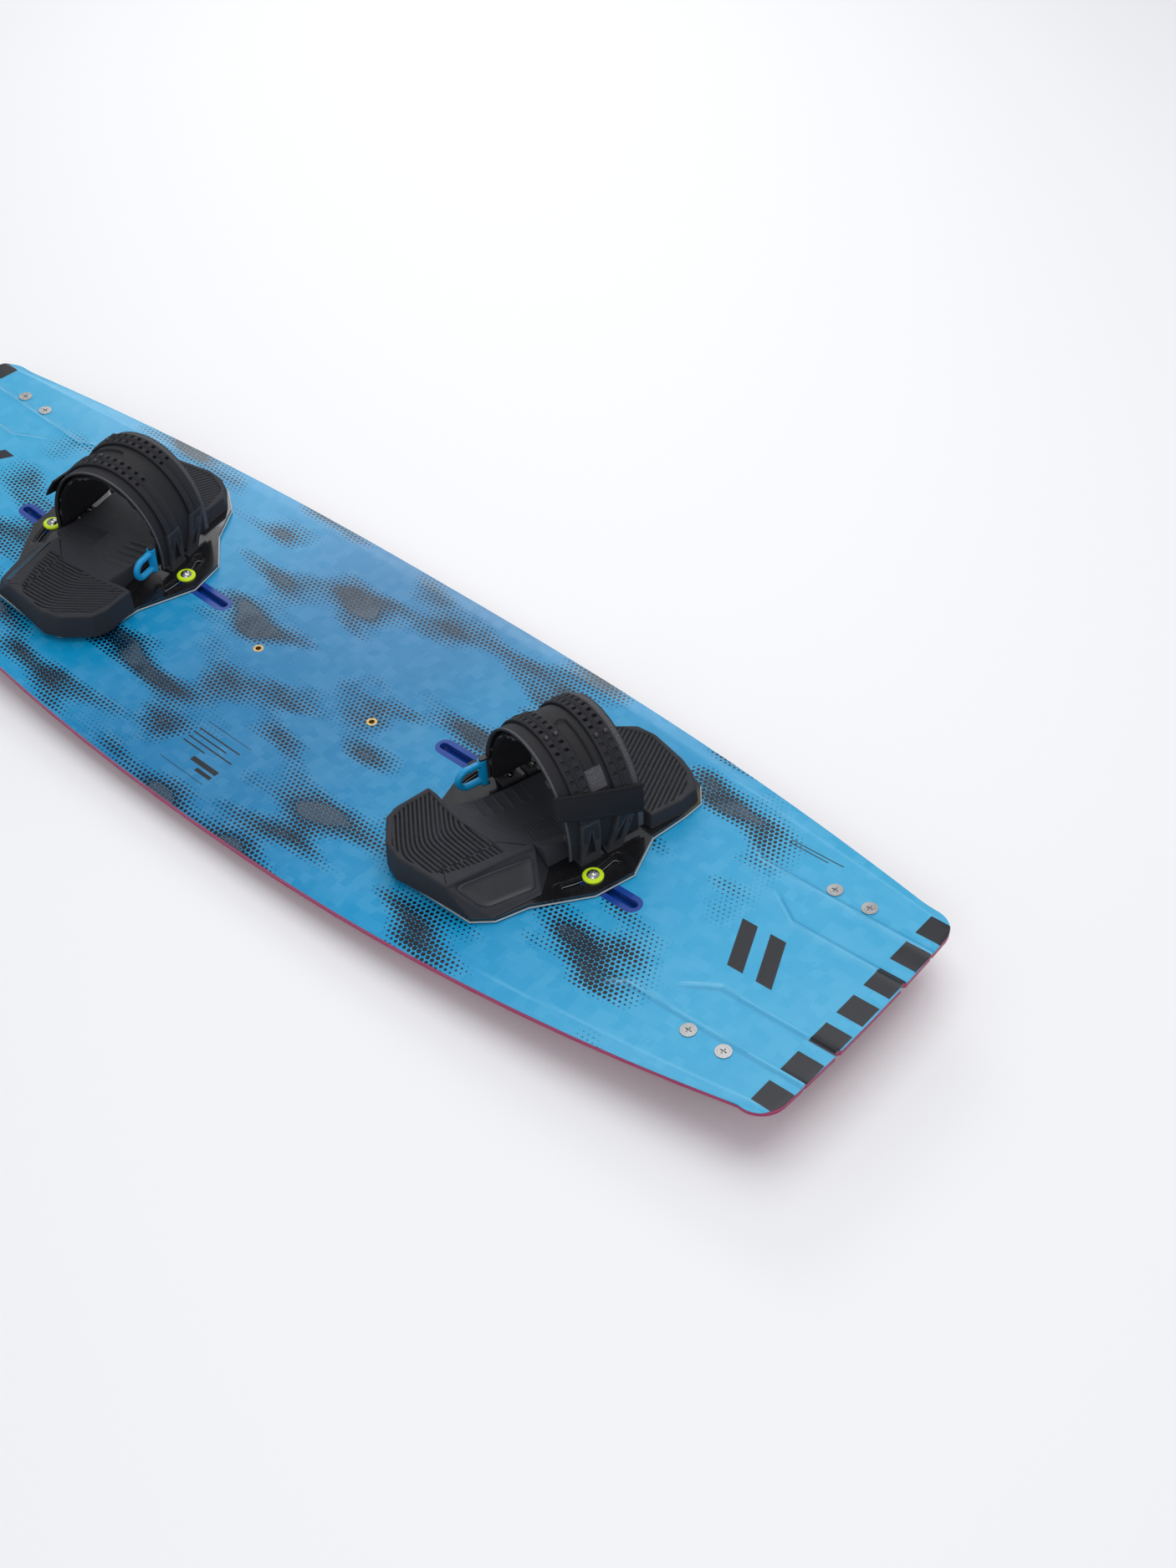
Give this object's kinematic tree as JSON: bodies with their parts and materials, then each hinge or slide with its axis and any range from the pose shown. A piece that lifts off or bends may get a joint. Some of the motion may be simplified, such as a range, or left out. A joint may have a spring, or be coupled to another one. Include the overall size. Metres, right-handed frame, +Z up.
{
  "type": "kiteboard",
  "caption": "Twin-tip kiteboard with rockered laminated deck, screw-on fins and adjustable strap bindings that slide and swivel on insert tracks.",
  "frame": {"origin": "on the floor under the middle of the board, where the four fin feet stand", "axes": "+X along the board to the rider's right, +Y to the toe side, +Z up"},
  "size_m": [1.38, 0.408, 0.1543],
  "materials": {
    "deck_laminate": "glossy cyan-blue clear-coated laminate with a dark dot print",
    "core_wood": "raw paulownia",
    "rail_abs": "satin magenta ABS",
    "base_laminate": "glossy magenta laminate",
    "insert_metal": "plain turned brass",
    "screw_steel": "bright stainless",
    "track_blue": "glossy deep blue moulding",
    "washer_lime": "neon yellow-green moulding",
    "plate_black": "glossy black glass-filled nylon",
    "gasket_clear": "pale translucent seal",
    "pad_foam": "matte charcoal EVA foam",
    "panel_black": "satin black moulding",
    "strap_textile": "black padded textile with a grey melange edge",
    "strap_skin": "black coated textile",
    "ladder_rubber": "matte black moulded elastomer",
    "band_webbing": "black hook-and-loop webbing",
    "loop_cyan": "cyan elastomer",
    "fin_glass": "dark glass-fibre fin"
  },
  "bodies": {
    "board": {"top_laminate": "deck_laminate", "wood_core": "core_wood", "edge_rail": "rail_abs", "base_sheet": "base_laminate", "handle_inserts": "insert_metal", "fin_screws": "screw_steel", "fin_washers": "screw_steel", "fin_inserts": "insert_metal", "right_toe_fin": "fin_glass", "right_heel_fin": "fin_glass", "left_toe_fin": "fin_glass", "left_heel_fin": "fin_glass", "right_outer_track": "track_blue", "right_inner_track": "track_blue", "left_outer_track": "track_blue", "left_inner_track": "track_blue"},
    "right_clamp": {"right_binding_screws": "screw_steel", "right_clamp_washers": "washer_lime", "right_track_nuts": "screw_steel"},
    "right_binding": {"right_base_plate": "plate_black", "right_plate_gasket": "gasket_clear", "right_heel_pad": "pad_foam", "right_side_panel": "panel_black", "right_footbed": "pad_foam", "right_toe_pad": "pad_foam", "right_strap_liner": "strap_textile", "right_strap_shell": "strap_skin", "right_front_ladder": "ladder_rubber", "right_rear_ladder": "ladder_rubber", "right_outer_front_leg": "ladder_rubber", "right_inner_front_leg": "ladder_rubber", "right_outer_rear_leg": "ladder_rubber", "right_inner_rear_leg": "ladder_rubber", "right_leg_bolts": "screw_steel", "right_loop_pin": "panel_black"},
    "right_cover_band": {"right_cover_band": "band_webbing"},
    "right_pull_loop": {"right_pull_loop": "loop_cyan"},
    "left_clamp": {"left_binding_screws": "screw_steel", "left_clamp_washers": "washer_lime", "left_track_nuts": "screw_steel"},
    "left_binding": {"left_base_plate": "plate_black", "left_plate_gasket": "gasket_clear", "left_heel_pad": "pad_foam", "left_side_panel": "panel_black", "left_footbed": "pad_foam", "left_toe_pad": "pad_foam", "left_strap_liner": "strap_textile", "left_strap_shell": "strap_skin", "left_front_ladder": "ladder_rubber", "left_rear_ladder": "ladder_rubber", "left_outer_front_leg": "ladder_rubber", "left_inner_front_leg": "ladder_rubber", "left_outer_rear_leg": "ladder_rubber", "left_inner_rear_leg": "ladder_rubber", "left_leg_bolts": "screw_steel", "left_loop_pin": "panel_black"},
    "left_cover_band": {"left_cover_band": "band_webbing"},
    "left_pull_loop": {"left_pull_loop": "loop_cyan"}
  },
  "joints": [
    {"name": "right_stance_slide", "type": "slide", "parent": "board", "child": "right_clamp", "axis": [0.999, 0, 0.0458], "range_m": [-0.02, 0.02]},
    {"name": "right_duck_swivel", "type": "hinge", "parent": "right_clamp", "child": "right_binding", "pos_m": [0.312, 0, 0.03434], "axis": [-0.0458, 0, 0.999], "range_deg": [-9, 9]},
    {"name": "right_cover_band_peel", "type": "hinge", "parent": "right_binding", "child": "right_cover_band", "pos_m": [0.36009, -0.03055, 0.12694], "axis": [-0.3741, -0.8981, 0.231], "range_deg": [0, 70]},
    {"name": "right_pull_loop_swing", "type": "hinge", "parent": "right_binding", "child": "right_pull_loop", "pos_m": [0.24386, -0.00295, 0.06425], "axis": [-0.0458, 0, 0.999], "range_deg": [-70, 10]},
    {"name": "left_stance_slide", "type": "slide", "parent": "board", "child": "left_clamp", "axis": [-0.999, 0, 0.0458], "range_m": [-0.02, 0.02]},
    {"name": "left_duck_swivel", "type": "hinge", "parent": "left_clamp", "child": "left_binding", "pos_m": [-0.312, 0, 0.03434], "axis": [0.0458, 0, 0.999], "range_deg": [-9, 9]},
    {"name": "left_cover_band_peel", "type": "hinge", "parent": "left_binding", "child": "left_cover_band", "pos_m": [-0.36009, -0.03055, 0.12694], "axis": [-0.3741, 0.8981, -0.231], "range_deg": [0, 70]},
    {"name": "left_pull_loop_swing", "type": "hinge", "parent": "left_binding", "child": "left_pull_loop", "pos_m": [-0.24386, -0.00295, 0.06425], "axis": [0.0458, 0, 0.999], "range_deg": [-10, 70]}
  ]
}
